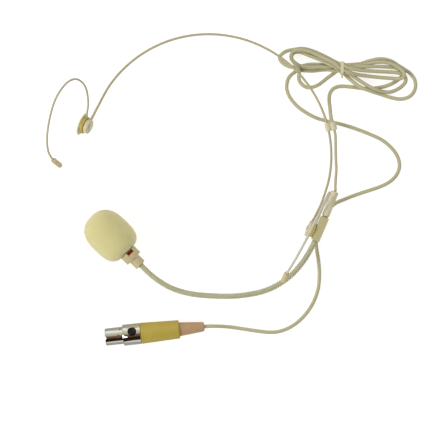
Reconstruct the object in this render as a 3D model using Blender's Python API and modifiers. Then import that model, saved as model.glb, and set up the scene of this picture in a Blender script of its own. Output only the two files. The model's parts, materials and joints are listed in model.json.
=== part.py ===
"""Headset microphone: wire neckband, two ear hooks, gooseneck boom, capsule with foam windscreen, tied cable and plug.

The headset lies flat.  +X runs from the left hub to the right hub, +Y to the back of the neckband, +Z up.
The layout is drawn about the neckband's centre in millimetres, and the whole is then moved so that the origin
is under the middle of the headset itself (the cable and its plug aside).
"""
from math import cos, hypot, pi, radians, sin

import bmesh
import bpy
from mathutils import Matrix, Vector

MM = 0.001
COLLECTION = "headset_microphone"

# ---- driving dimensions, millimetres ----
LAYOUT_CENTRE = Vector((-6.18, -5.21, 0.0))  # middle of the headset's own box, seen from the neckband's centre
GAP = 0.2                                    # clearance between neighbouring small parts
BAND_CENTRE_X = -0.2
BAND_HALF_WIDTH = 65.1
BAND_HALF_DEPTH = 64.1
BAND_R = 0.65
BAND_Z_MIDDLE = 8.0
BAND_Z_SLOPE = 1.0 / 64.25                   # the right hub lies 2 mm higher than the left
HOOK_R = 0.55
GOOSE_R = 1.6
CABLE_R = 1.0
FLOOR_CABLE_Z = CABLE_R + 0.05

# hub stack along the pivot axis, outward positive
BASE_SPAN = (-2.3, -0.2)
BASE_WIRE_AT = -1.25
BASE_RADIUS = {"left": 3.9, "right": 4.4}
CARRIER_SPAN = (0.0, 1.8)
CARRIER_RADIUS = {"left": 4.7, "right": 4.0}
HOOK_AT = 0.9
PIN_R = 0.8
PIN_HEAD_R = 1.6
PIN_HEAD_HEIGHT = 0.35
COVER_SPAN = (2.0, 3.3)
COVER_HALF_HEIGHT = 4.6
COVER_STRETCH = 1.36                         # the cover is an oval, longer along the headset
LEFT_TILT = radians(17.0)                    # the left hub lies rolled outward
LEFT_BASE = Vector((-65.9, -11.9, 7.0))
RIGHT_PIVOT = Vector((65.5, -15.5, 9.0))

# ear hooks: along the head, away from the table, toward the head
LEFT_HOOK = [
    (4.6, 2.0, -0.2), (12.0, 4.0, -1.7), (18.7, 10.5, -4.0), (20.0, 20.3, -5.9), (15.6, 28.8, -6.4),
    (6.5, 34.5, -5.9), (-3.7, 35.6, -4.4), (-13.6, 34.0, -2.3), (-20.4, 29.9, -0.3),
]
LEFT_TIP_START = Vector((-23.7, 24.2, 1.7))
LEFT_TIP_WAY = Vector((-0.18, -0.93, 0.31))
RIGHT_HOOK = [
    (4.6, 2.1, 0.0), (13.2, 4.2, 0.1), (19.8, 10.4, 0.15), (21.0, 19.8, 1.2), (16.4, 27.5, 2.0),
    (6.5, 32.8, 2.6), (-4.0, 33.8, 3.2), (-15.0, 32.2, 4.1), (-22.6, 28.6, 4.8),
]
RIGHT_TIP_START = Vector((-26.2, 23.5, 5.1))
RIGHT_TIP_WAY = Vector((-0.68, -0.73, -0.03))
HOOK_ENTRY = radians(25.0)
HOOK_SWELL = {"left": 1.0, "right": 1.22}    # the right hook's wire is stouter past the top of its loop
TIP_LENGTH = 7.6
TIP_R = 1.45
TIP_SOCKET = 4.9
TIP_WIRE_REACH = (0.0, 2.2, 4.4)

# boom
SLEEVE_REAR = Vector((69.2, 8.0, 9.0))
SLEEVE_FRONT = Vector((69.6, -6.0, 9.0))
SLEEVE_R = 2.05
CLAMP_X = (67.5, 71.85)
CLAMP_FRONT, CLAMP_REAR = 4.7, 8.7            # how far it reaches either way from the pivot
CLAMP_HEIGHT = 5.2
BOOM_ROUTE = [
    (69.44, -2.2, 9.0), (69.6, -6.0, 9.0), (69.75, -11.0, 9.0), (69.75, -15.5, 9.0), (69.72, -20.5, 9.0),
    (69.3, -26.0, 9.0), (68.2, -33.0, 9.1), (65.6, -41.2, 9.3), (61.2, -49.0, 9.5), (55.6, -55.3, 9.8),
    (48.7, -60.4, 10.0), (39.8, -65.3, 10.3), (30.0, -69.2, 10.6), (21.6, -71.9, 10.9), (14.1, -73.3, 11.1),
    (7.0, -73.5, 11.2), (0.5, -72.5, 11.3), (-4.8, -71.0, 11.4), (-10.6, -68.75, 11.4), (-13.78, -67.54, 11.4),
]
BEND_REAR_AT = 24.0                          # along the boom route
BEND_FRONT_AT = 112.0

# microphone head, along its own axis from the gooseneck's end
MIC_START = Vector((-10.6, -68.75, 11.4))
MIC_WAY = Vector((-0.934, 0.357, 0.0))
CAP_R, CAP_LENGTH = 3.15, 4.8
COLLAR_R, COLLAR_SPAN = 4.85, (5.0, 9.95)
MIC_BARREL_R, MIC_BARREL_END = 4.2, 22.0
MIC_BORE_R = 3.6
PORT_WIDTH, PORT_SPAN = 3.9, (7.8, 9.65)
PORT_ROLL = radians(14.0)
FOAM_SPAN = (10.15, 37.1)
FOAM_R = 11.37
FOAM_BORE_R = 4.4
FOAM_FULLNESS_FRONT, FOAM_FULLNESS_REAR = 2.4, 3.4   # 2 would be an ellipse, more is blunter
FOAM_REAR_ANGLE = 160                        # degrees round from the tip, where the flat rear face starts

# cable clip on the neckband
CLIP_ANGLE = radians(36.5)
CLIP_PITCH = 2.9
CLIP_LENGTH = 4.4

# cable
CORD_UPPER_ROUTE = [
    (69.2, 8.35, 9.0), (68.3, 10.4, 8.9), (67.1, 13.7, 8.7), (65.3, 18.9, 8.4), (63.1, 23.6, 8.3),
    (60.9, 28.4, 8.4), (57.46, 35.86, 8.75), (54.46, 39.86, 8.8), (51.45, 43.86, 8.7), (49.0, 48.6, 6.6),
    (47.1, 52.6, 3.6), (46.3, 56.2, 1.7), (47.2, 59.4, 1.15), (50.2, 61.8, 1.3), (53.6, 63.3, 1.7),
    (57.1, 64.3, 1.95),
]
LEAD_THICKNESS = 0.75                        # of the cable's, from the sleeve to the clip
LEAD_LENGTH = 34.8
CORD_LOWER_ROUTE = [
    (23.4, 58.8, 1.95), (22.9, 55.4, 1.45), (22.8, 52.0, 1.1), (24.2, 48.6, 1.05), (27.6, 45.3, 1.05),
    (32.5, 42.8, 1.05), (38.3, 41.4, 1.05), (44.7, 40.9, 1.05), (51.4, 41.7, 1.05), (57.9, 43.0, 1.05),
    (66.0, 43.9, 1.05), (74.9, 44.2, 1.05), (82.2, 43.9, 1.05), (89.1, 41.7, 1.05), (93.9, 38.4, 1.05),
    (96.4, 34.2, 1.05), (96.6, 29.6, 1.05), (94.7, 24.9, 1.05), (90.8, 20.2, 1.05), (82.5, 12.8, 1.05),
    (76.6, 7.2, 1.05), (72.2, 2.4, 1.05), (70.1, -3.0, 1.05), (69.5, -9.0, 1.05), (69.7, -15.0, 1.05),
    (70.8, -20.0, 1.05), (73.0, -24.3, 1.05), (76.0, -29.0, 1.05), (79.4, -35.6, 1.05), (82.0, -43.5, 1.05),
    (82.4, -52.0, 1.05), (80.6, -60.3, 1.05), (76.9, -67.5, 1.05), (72.0, -72.6, 1.05), (66.8, -75.4, 1.05),
    (59.5, -77.6, 1.05), (51.8, -79.6, 1.1), (46.4, -81.0, 1.9), (41.6, -82.5, 3.7), (37.6, -84.0, 5.2),
    (34.2, -85.55, 5.75),
]
HANK_OUTLINE = [
    (46.6, 73.2), (44.6, 72.9), (40.5, 74.3), (36.0, 74.9), (27.0, 74.2), (21.3, 72.6), (16.6, 69.3),
    (13.3, 65.9), (13.5, 62.3),
    (17.0, 59.7), (21.3, 59.15), (25.5, 59.15), (26.8, 55.8), (29.8, 53.1), (34.3, 53.3), (40.0, 57.7),
    (43.3, 63.2), (45.0, 67.2), (47.0, 68.1), (49.0, 68.9), (53.4, 67.2), (57.2, 66.5), (57.9, 63.4),
    (64.0, 64.3), (70.0, 65.2),
    (76.5, 65.7), (81.8, 67.0), (86.3, 70.0), (88.5, 74.0), (88.0, 78.6), (83.4, 83.0), (77.6, 84.9),
    (70.8, 85.5), (64.5, 84.9), (58.4, 81.3), (52.2, 76.2), (49.0, 73.8),
]
HANK_Z = (0.9, 6.9)
TIE_CENTRE = Vector((46.75, 70.8, 3.9))
TIE_WAY = Vector((0.39, -0.92, 0.0))
TIE_INNER = (6.6, 2.0, 6.7)
TIE_THICKNESS = 0.5

# plug, along its own axis from the nose
PLUG_NOSE = Vector((-12.9, -112.0, 5.75))
PLUG_WAY = Vector((0.872, 0.4895, 0.0))
BUTTON_ROLL = radians(20.0)
PLUG_FRONT_R, PLUG_REAR_R = 4.6, 5.65
PLUG_STEP_AT, PLUG_BARREL_END = 9.5, 19.1
INSERT_R, INSERT_SPAN = 3.5, (1.2, 11.5)
CONTACT_CIRCLE_R, CONTACT_R, CONTACT_COUNT = 1.9, 0.55, 4
BUTTON_R, BUTTON_AT, BUTTON_SPAN = 2.2, 14.6, (3.9, 6.15)
SHELL_SPAN, SHELL_R = (19.3, 39.8), (5.7, 4.9)
BOOT_END = 53.2
CORD_TAIL_SPAN = (20.0, 53.7)

TURN_STEPS = 24


# ---- scene, materials and frames ----

def clear_scene():
    for item in list(bpy.data.objects):
        bpy.data.objects.remove(item, do_unlink=True)


def new_collection(name):
    collection = bpy.data.collections.new(name)
    bpy.context.scene.collection.children.link(collection)
    return collection


def make_material(name, colour, roughness, metallic=0.0):
    material = bpy.data.materials.new(name)
    material.use_nodes = True
    shader = material.node_tree.nodes["Principled BSDF"]
    shader.inputs["Base Color"].default_value = (*colour, 1.0)
    shader.inputs["Roughness"].default_value = roughness
    shader.inputs["Metallic"].default_value = metallic
    return material


def frame_from(origin, z_axis, x_axis):
    """A right-handed frame with the given Z, and X as near as it can be to the given one."""
    z = Vector(z_axis).normalized()
    x = (Vector(x_axis) - z * z.dot(Vector(x_axis))).normalized()
    y = z.cross(x)
    turn = Matrix((x, y, z)).transposed().to_4x4()
    return Matrix.Translation(Vector(origin)) @ turn


class Kit:
    """Holds the collections, the materials and the frames that pieces hang from."""

    def __init__(self):
        self.parts = new_collection(COLLECTION)
        self.cutters = new_collection("cutters")
        self.frames = {}
        self.empties = {}
        self.materials = {
            "band": make_material("band_wire", (0.55, 0.49, 0.28), 0.38),
            "hub": make_material("hub_plastic", (0.62, 0.56, 0.36), 0.45),
            "rubber": make_material("tip_rubber", (0.62, 0.52, 0.32), 0.6),
            "goose": make_material("gooseneck_jacket", (0.40, 0.36, 0.21), 0.5),
            "housing": make_material("mic_housing_plastic", (0.60, 0.50, 0.32), 0.5),
            "felt": make_material("damping_felt", (0.16, 0.01, 0.005), 0.95),
            "foam": make_material("windscreen_foam", (0.72, 0.65, 0.33), 0.95),
            "cable": make_material("cable_jacket", (0.53, 0.48, 0.26), 0.5),
            "metal": make_material("nickel", (0.72, 0.71, 0.68), 0.18, 1.0),
            "brass": make_material("brass", (0.80, 0.58, 0.22), 0.3, 1.0),
            "black": make_material("black_plastic", (0.02, 0.02, 0.02), 0.4),
            "mustard": make_material("plug_shell_paint", (0.49, 0.37, 0.07), 0.4),
            "boot": make_material("boot_rubber", (0.58, 0.34, 0.20), 0.6),
            "clear": make_material("hub_cover_plastic", (0.70, 0.66, 0.50), 0.35),
        }
        self.add_frame("headset", Matrix.Translation(-LAYOUT_CENTRE * MM))

    def add_frame(self, name, place, parent=None):
        """An empty for pieces to hang from; place is in metres and in the layout's own axes."""
        empty = bpy.data.objects.new(name + "_axis", None)
        empty.empty_display_size = 4 * MM
        self.parts.objects.link(empty)
        if parent is None:
            empty.matrix_basis = place
            self.frames[name] = Matrix.Identity(4)
        else:
            empty.parent = self.empties[parent]
            empty.matrix_basis = self.frames[parent].inverted() @ place
            self.frames[name] = place
        self.empties[name] = empty

    def add(self, piece, material, frame, place=None):
        """Puts a piece in the collection, on its frame, at its place in the layout."""
        piece.data.materials.append(self.materials[material])
        self.parts.objects.link(piece)
        piece.parent = self.empties[frame]
        layout_place = place if place is not None else Matrix.Identity(4)
        piece.matrix_basis = self.frames[frame].inverted() @ layout_place
        return piece

    def cut(self, piece, cutter, frame, place, operation="DIFFERENCE"):
        """Cuts a piece with a closed mesh, or joins the mesh to it."""
        self.cutters.objects.link(cutter)
        cutter.parent = self.empties[frame]
        cutter.matrix_basis = self.frames[frame].inverted() @ place
        cutter.hide_render = True
        cutter.display_type = "WIRE"
        modifier = piece.modifiers.new(cutter.name, "BOOLEAN")
        modifier.operation = operation
        modifier.object = cutter


def scaled_place(frame):
    """A frame given in millimetres, as a place in metres."""
    place = frame.copy()
    place.translation = frame.translation * MM
    return place


# ---- shapes ----

def turned(name, profile, steps=TURN_STEPS, closed=True):
    """A solid of revolution about Z.  The profile's outer side runs from the top to the bottom."""
    mesh = bpy.data.meshes.new(name)
    points = [(radius * MM, 0.0, height * MM) for radius, height in profile]
    edges = [(i, i + 1) for i in range(len(points) - 1)]
    if closed:
        edges.append((len(points) - 1, 0))
    mesh.from_pydata(points, edges, [])
    piece = bpy.data.objects.new(name, mesh)
    screw = piece.modifiers.new("turn", "SCREW")
    screw.axis = "Z"
    screw.steps = steps
    screw.render_steps = steps
    screw.use_merge_vertices = True
    screw.merge_threshold = 0.00001
    screw.use_smooth_shade = True
    return piece


def rod(name, radius, start, end, sides=TURN_STEPS):
    """A plain cylinder along Z from start to end."""
    mesh = bpy.data.meshes.new(name)
    shape = bmesh.new()
    bmesh.ops.create_cone(
        shape, cap_ends=True, segments=sides, radius1=radius * MM, radius2=radius * MM,
        depth=(end - start) * MM, matrix=Matrix.Translation((0, 0, (start + end) / 2 * MM)),
    )
    shape.to_mesh(mesh)
    shape.free()
    return bpy.data.objects.new(name, mesh)


def block(name, low, high, edge=0.0):
    """A box between two corners, its edges rounded by edge."""
    size = [(b - a) * MM for a, b in zip(low, high)]
    middle = Vector([(a + b) / 2 * MM for a, b in zip(low, high)])
    mesh = bpy.data.meshes.new(name)
    shape = bmesh.new()
    bmesh.ops.create_cube(shape, size=1.0, matrix=Matrix.Translation(middle) @ Matrix.Diagonal((*size, 1.0)))
    shape.to_mesh(mesh)
    shape.free()
    piece = bpy.data.objects.new(name, mesh)
    if edge > 0.0:
        bevel = piece.modifiers.new("edges", "BEVEL")
        bevel.width = edge * MM
        bevel.segments = 2
    return piece


def smooth_route(points, spacing=0.5):
    """Points every spacing or so along a smooth curve through the given ones, in millimetres."""
    route = [Vector(p) for p in points]
    route = [2 * route[0] - route[1]] + route + [2 * route[-1] - route[-2]]
    fine = []
    for a, b, c, d in zip(route, route[1:], route[2:], route[3:]):
        count = max(2, round((c - b).length / spacing))
        for i in range(count):
            t = i / count
            fine.append(0.5 * (
                2 * b + (c - a) * t + (2 * a - 5 * b + 4 * c - d) * t ** 2 + (3 * b - a - 3 * c + d) * t ** 3))
    fine.append(route[-2])
    return fine


def distances(fine):
    """How far along the route each of its points lies."""
    along = [0.0]
    for a, b in zip(fine, fine[1:]):
        along.append(along[-1] + (b - a).length)
    return along


def point_at(fine, along, distance):
    """The point of a fine route at a distance along it."""
    for i in range(1, len(fine)):
        if along[i] >= distance:
            share = (distance - along[i - 1]) / (along[i] - along[i - 1])
            return fine[i - 1].lerp(fine[i], share)
    return fine[-1].copy()


def stretch(points, step, start=0.0, end=None):
    """Evenly spaced points along the route from start to end, and the route's length."""
    fine = smooth_route(points)
    along = distances(fine)
    stop = along[-1] if end is None else end
    count = max(2, round((stop - start) / step))
    return [point_at(fine, along, start + (stop - start) * i / count) for i in range(count + 1)]


def wire(name, points, radius, widths=None):
    """A round wire with filled ends through the points; widths scale its radius point by point."""
    data = bpy.data.curves.new(name, "CURVE")
    data.dimensions = "3D"
    data.bevel_depth = radius * MM
    data.bevel_resolution = 2
    data.use_fill_caps = True
    spline = data.splines.new("POLY")
    spline.points.add(len(points) - 1)
    for i, point in enumerate(points):
        spline.points[i].co = (*(Vector(point) * MM), 1.0)
        spline.points[i].radius = widths[i] if widths else 1.0
    return bpy.data.objects.new(name, data)


# ---- hubs and ear hooks ----

def hub_place(pivot, tilt):
    """The hub's frame: X along the pivot pin, Y along the head, Z up the ear hook."""
    return Matrix.Translation(pivot * MM) @ Matrix.Rotation(-tilt, 4, "Y")


def outward(hub, side):
    """Turns a hub's frame so that its Z points outward along the pin."""
    return hub @ Matrix.Rotation(side * pi / 2, 4, "Y")


def disc_profile(radius, span, bore, edge=0.3):
    low, high = span
    return [(bore, high), (radius - edge, high), (radius, high - edge), (radius, low + edge),
            (radius - edge, low), (bore, low)]


def build_hub(kit, name, side, hub):
    """The disc that holds the neckband's end, and the pin that the ear hook turns on."""
    out = outward(hub, side)
    base = turned(name + "_hub_base", disc_profile(BASE_RADIUS[name], BASE_SPAN, PIN_R + GAP))
    kit.add(base, "hub", "headset", out)
    along_y = hub @ Matrix.Translation((side * BASE_WIRE_AT * MM, 0, 0)) @ Matrix.Rotation(-pi / 2, 4, "X")
    kit.cut(base, rod(name + "_band_hole", BAND_R + GAP, 1.3, 8.0, 16), "headset", along_y)

    head_low = BASE_SPAN[0] - GAP - PIN_HEAD_HEIGHT
    shank_end = COVER_SPAN[0] + (0.6 if side < 0 else 0.3)
    pin = turned(name + "_pivot_pin", [
        (0.0, shank_end), (PIN_R, shank_end), (PIN_R, BASE_SPAN[0] - GAP), (PIN_HEAD_R, BASE_SPAN[0] - GAP),
        (PIN_HEAD_R - 0.2, head_low), (0.0, head_low - 0.1)], 16, closed=False)
    kit.add(pin, "metal", "headset", out)


def hook_point(side, along, up, inward):
    """An ear hook's point in its hub's frame."""
    return Vector((side * (HOOK_AT - inward), along, up))


def build_hook(kit, name, side, hub, shape, tip_start, tip_way):
    """The turning disc, the formed wire and its soft tip."""
    frame = name + "_hook"
    kit.add_frame(frame, hub, "headset")
    out = outward(hub, side)
    carrier = turned(name + "_hook_carrier", disc_profile(CARRIER_RADIUS[name], CARRIER_SPAN, PIN_R + GAP))
    kit.add(carrier, "hub", frame, out)
    entry = hub @ Matrix.Translation((side * HOOK_AT * MM, 0, 0)) @ Matrix.Rotation(HOOK_ENTRY - pi / 2, 4, "X")
    kit.cut(carrier, rod(name + "_wire_hole", HOOK_R + 0.15, 1.3, 7.0, 12), frame, entry)

    way = tip_way.normalized()
    route = [(1.6 * cos(HOOK_ENTRY), 1.6 * sin(HOOK_ENTRY), 0.0)] + shape
    route += [tuple(tip_start + way * reach) for reach in TIP_WIRE_REACH]
    points = [hook_point(side, *p) for p in route]
    along = stretch(points, 2.8)
    swell = HOOK_SWELL[name]
    widths = [1.0 + (swell - 1.0) * min(1.0, max(0.0, 2.0 * i / len(along) - 0.6)) for i in range(len(along))]
    kit.add(wire(name + "_ear_hook", along, HOOK_R, widths), "band", frame, hub)

    start = hook_point(side, *tip_start)
    direction = Vector((-side * way.z, way.x, way.y))
    place = hub @ scaled_place(frame_from(start, -direction, (1, 0, 0)))
    socket_r = HOOK_R * swell + 0.2
    tip = turned(name + "_hook_tip", [
        (socket_r, 0.0), (TIP_R - 0.3, 0.0), (TIP_R, -0.4), (TIP_R, -TIP_LENGTH + 1.2),
        (TIP_R * 0.85, -TIP_LENGTH + 0.4), (TIP_R * 0.45, -TIP_LENGTH), (0.0, -TIP_LENGTH - 0.05),
        (0.0, -TIP_SOCKET), (socket_r, -TIP_SOCKET)], 16)
    kit.add(tip, "rubber", frame, place)


def build_left_cover(kit, hub):
    """The oval cap that closes the left hub on its outer side."""
    low, high = COVER_SPAN
    cover = turned("left_hub_cover", [
        (0.0, high + 0.15), (COVER_HALF_HEIGHT * 0.55, high + 0.05), (COVER_HALF_HEIGHT - 0.5, high - 0.25),
        (COVER_HALF_HEIGHT, high - 0.6), (COVER_HALF_HEIGHT, low + 0.2), (COVER_HALF_HEIGHT - 0.2, low),
        (PIN_R + GAP, low), (PIN_R + GAP, low + 0.8), (0.0, low + 0.8)], 32, closed=False)
    out = outward(hub, -1) @ Matrix.Diagonal((1.0, COVER_STRETCH, 1.0, 1.0))
    kit.add(cover, "clear", "headset", out)


def build_neckband(kit):
    """The springy wire from hub to hub round the back of the head."""
    right = [(64.25, RIGHT_PIVOT.y + 1.6), (64.3, -11.5), (64.72, -6.0)]
    arc = [(BAND_CENTRE_X + BAND_HALF_WIDTH * cos(radians(a)), BAND_HALF_DEPTH * sin(radians(a)))
           for a in range(0, 181, 12)]
    left = [(-65.6, -4.0), (LEFT_BASE.x, -8.0), (LEFT_BASE.x, LEFT_BASE.y + 1.6)]
    route = [(x, y, BAND_Z_MIDDLE + x * BAND_Z_SLOPE) for x, y in right + arc + left]
    kit.add(wire("neckband", stretch(route, 4.2), BAND_R), "band", "headset")


# ---- boom ----

def rounded_start(points, radius):
    """Adds a half-round end behind the first point; returns the points and their widths."""
    back = (points[0] - points[1]).normalized()
    cap, widths = [], []
    for angle in (75, 50, 25):
        cap.append(points[0] + back * radius * sin(radians(angle)))
        widths.append(cos(radians(angle)))
    return cap + points, widths + [1.0] * len(points)


def build_boom(kit):
    """The clamp on the right hub, the gooseneck in three stretches, and the sleeve on its rear end."""
    kit.add_frame("boom", Matrix.Translation(RIGHT_PIVOT * MM), "headset")
    half_height = CLAMP_HEIGHT / 2
    clamp = block(
        "boom_clamp",
        (CLAMP_X[0], RIGHT_PIVOT.y - CLAMP_FRONT, RIGHT_PIVOT.z - half_height),
        (CLAMP_X[1], RIGHT_PIVOT.y + CLAMP_REAR, RIGHT_PIVOT.z + half_height), 0.7)
    kit.add(clamp, "hub", "boom")
    bore = Matrix.Translation(Vector((69.74, 0, RIGHT_PIVOT.z)) * MM) @ Matrix.Rotation(-pi / 2, 4, "X")
    kit.cut(clamp, rod("boom_bore", GOOSE_R + GAP, -30, 0, 20), "boom", bore)
    pin_hole = Matrix.Translation(RIGHT_PIVOT * MM) @ Matrix.Rotation(pi / 2, 4, "Y")
    kit.cut(clamp, rod("clamp_pin_hole", PIN_R + GAP, 1.5, 3.2, 16), "boom", pin_hole)

    rear = stretch(BOOM_ROUTE, 4.0, 0.0, BEND_REAR_AT - GOOSE_R - 0.3)
    kit.add(wire("gooseneck_rear", rear, GOOSE_R), "goose", "boom")

    fine = smooth_route(BOOM_ROUTE)
    along = distances(fine)
    bend_rear = point_at(fine, along, BEND_REAR_AT)
    bend_front = point_at(fine, along, BEND_FRONT_AT)
    kit.add_frame("boom_middle", Matrix.Translation(bend_rear * MM), "boom")
    kit.add_frame("mic_head", Matrix.Translation(bend_front * MM), "boom_middle")
    middle, widths = rounded_start(
        stretch(BOOM_ROUTE, 4.0, BEND_REAR_AT, BEND_FRONT_AT - GOOSE_R - 0.3), GOOSE_R)
    kit.add(wire("gooseneck_middle", middle, GOOSE_R, widths), "goose", "boom_middle")
    front, widths = rounded_start(stretch(BOOM_ROUTE, 4.0, BEND_FRONT_AT), GOOSE_R)
    kit.add(wire("gooseneck_front", front, GOOSE_R, widths), "goose", "mic_head")

    length = (SLEEVE_REAR - SLEEVE_FRONT).length
    sleeve = turned("boom_sleeve", [
        (0.0, length), (SLEEVE_R - 0.1, length), (SLEEVE_R + 0.12, length - 0.5), (SLEEVE_R + 0.12, length - 1.3),
        (SLEEVE_R, length - 1.8), (SLEEVE_R, 0.3), (SLEEVE_R - 0.15, 0.0), (GOOSE_R + GAP, 0.0),
        (GOOSE_R + GAP, 4.3), (0.0, 4.3)], 20, closed=False)
    place = scaled_place(frame_from(SLEEVE_FRONT, SLEEVE_REAR - SLEEVE_FRONT, (1, 0, 0)))
    kit.add(sleeve, "hub", "boom", place)
    return bend_rear, bend_front


# ---- microphone head ----

def foam_profile():
    """The windscreen's blunt egg outline over a straight bore that is open at the rear."""
    low, high = FOAM_SPAN
    back = abs(cos(radians(FOAM_REAR_ANGLE))) ** (2 / FOAM_FULLNESS_REAR)
    half = (high - low) / (1 + back)
    middle = high - half
    outline = []
    for degrees in range(0, FOAM_REAR_ANGLE + 1, 16):
        angle = radians(degrees)
        front = degrees <= 90
        power = 2 / (FOAM_FULLNESS_FRONT if front else FOAM_FULLNESS_REAR)
        height = half * abs(cos(angle)) ** power
        outline.append((FOAM_R * abs(sin(angle)) ** power, middle + (height if front else -height)))
    bore_end = MIC_BARREL_END + 1.0
    return outline + [(FOAM_BORE_R, low), (FOAM_BORE_R, bore_end), (0.0, bore_end)]


def build_mic_head(kit):
    """Rear cap, slotted housing, felt, capsule in its rubber ring, grille and foam windscreen."""
    place = scaled_place(frame_from(MIC_START, MIC_WAY, (0, 0, 1)))
    cap = turned("mic_rear_cap", [
        (0.0, CAP_LENGTH), (CAP_R, CAP_LENGTH), (CAP_R, 0.4), (CAP_R - 0.4, 0.0), (GOOSE_R + GAP, 0.0),
        (GOOSE_R + GAP, 4.0), (0.0, 4.0)], closed=False)
    kit.add(cap, "housing", "mic_head", place)

    low, high = COLLAR_SPAN
    housing = turned("mic_housing", [
        (MIC_BORE_R, MIC_BARREL_END), (MIC_BARREL_R, MIC_BARREL_END), (MIC_BARREL_R, high), (COLLAR_R - 0.2, high),
        (COLLAR_R, high - 0.2), (COLLAR_R, low + 0.4), (COLLAR_R - 0.4, low), (1.0, low), (1.0, low + 1.2),
        (MIC_BORE_R, low + 1.2)], 32)
    kit.add(housing, "housing", "mic_head", place)
    for i in range(3):
        port = block("mic_port_%d" % i, (2.8, -PORT_WIDTH / 2, PORT_SPAN[0]), (7.0, PORT_WIDTH / 2, PORT_SPAN[1]))
        turn = Matrix.Rotation(PORT_ROLL + i * 2 * pi / 3, 4, "Z")
        kit.cut(housing, port, "mic_head", place @ turn)

    felt = turned("damping_felt", [(2.2, 10.8), (3.4, 10.8), (3.4, 6.9), (2.2, 6.9)], 24)
    kit.add(felt, "felt", "mic_head", place)
    mount = turned("capsule_mount", disc_profile(3.4, (13.2, 18.8), 2.75, 0.2), 24)
    kit.add(mount, "black", "mic_head", place)
    capsule = turned("capsule", [
        (0.0, 19.4), (2.3, 19.4), (2.6, 19.1), (2.6, 13.3), (2.3, 13.0), (0.0, 13.0)], 24, closed=False)
    kit.add(capsule, "metal", "mic_head", place)
    grille = rod("front_grille", 3.4, 20.4, 21.0, 24)
    kit.add(grille, "metal", "mic_head", place)
    for i in range(7):
        spot = Matrix.Identity(4) if i == 0 else Matrix.Rotation(i * pi / 3, 4, "Z") @ Matrix.Translation(
            (2.1 * MM, 0, 0))
        kit.cut(grille, rod("grille_hole_%d" % i, 0.55, 19.8, 21.6, 10), "mic_head", place @ spot)

    kit.add_frame("windscreen", place, "mic_head")
    foam = turned("foam_windscreen", foam_profile(), 32, closed=False)
    kit.add(foam, "foam", "windscreen", place)


# ---- cable clip, cable and tie ----

def build_clip(kit):
    """The small moulded clip that holds the cable beside the neckband."""
    radial = Vector((cos(CLIP_ANGLE), sin(CLIP_ANGLE), 0.0))
    on_band = Vector((BAND_CENTRE_X + BAND_HALF_WIDTH * cos(CLIP_ANGLE), BAND_HALF_DEPTH * sin(CLIP_ANGLE), 0.0))
    on_band.z = BAND_Z_MIDDLE + on_band.x * BAND_Z_SLOPE
    way = Vector((-BAND_HALF_WIDTH * sin(CLIP_ANGLE), BAND_HALF_DEPTH * cos(CLIP_ANGLE), 0.0))
    on_cable = on_band + radial * CLIP_PITCH
    band_place = scaled_place(frame_from(on_band, way, radial))
    cable_place = scaled_place(frame_from(on_cable, way, radial))
    half = CLIP_LENGTH / 2
    kit.add_frame("cable_clip", band_place, "headset")
    clip = rod("cable_clip", BAND_R + 0.85, -half, half, 20)
    kit.add(clip, "hub", "cable_clip", band_place)
    kit.cut(clip, rod("clip_cable_lobe", CABLE_R + 0.8, -half, half, 20), "cable_clip", cable_place, "UNION")
    kit.cut(clip, rod("clip_band_bore", BAND_R + 0.3, -6, 6, 12), "cable_clip", band_place)
    kit.cut(clip, rod("clip_cable_bore", CABLE_R + 0.35, -6, 6, 16), "cable_clip", cable_place)


def build_cable(kit):
    """The cable from the sleeve to the hank and on to the plug, the tied hank and its tie."""
    upper = stretch(CORD_UPPER_ROUTE, 4.6)
    along = distances(upper)
    widths = [LEAD_THICKNESS if reach < LEAD_LENGTH else 1.0 for reach in along]
    kit.add(wire("cord_upper", upper, CABLE_R, widths), "cable", "headset")
    kit.add(wire("cord_lower", stretch(CORD_LOWER_ROUTE, 5.2), CABLE_R), "cable", "headset")

    outline = bpy.data.curves.new("cord_hank", "CURVE")
    outline.dimensions = "2D"
    outline.fill_mode = "BOTH"
    outline.extrude = (HANK_Z[1] - HANK_Z[0]) / 2 * MM
    spline = outline.splines.new("POLY")
    spline.points.add(len(HANK_OUTLINE) - 1)
    for point, (x, y) in zip(spline.points, HANK_OUTLINE):
        point.co = (x * MM, y * MM, 0.0, 1.0)
    spline.use_cyclic_u = True
    middle = Matrix.Translation((0, 0, sum(HANK_Z) / 2 * MM))
    kit.add(bpy.data.objects.new("cord_hank", outline), "cable", "headset", middle)

    place = scaled_place(frame_from(TIE_CENTRE, (0, 0, 1), TIE_WAY))
    inner = [size / 2 for size in TIE_INNER]
    outer = [inner[0] + TIE_THICKNESS, inner[1] / 2, inner[2] + TIE_THICKNESS]
    tie = block("hank_tie", [-v for v in outer], outer)
    kit.add(tie, "clear", "headset", place)
    opening = block("tie_opening", [-v for v in inner], inner)
    kit.cut(tie, opening, "headset", place)


# ---- plug ----

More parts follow.
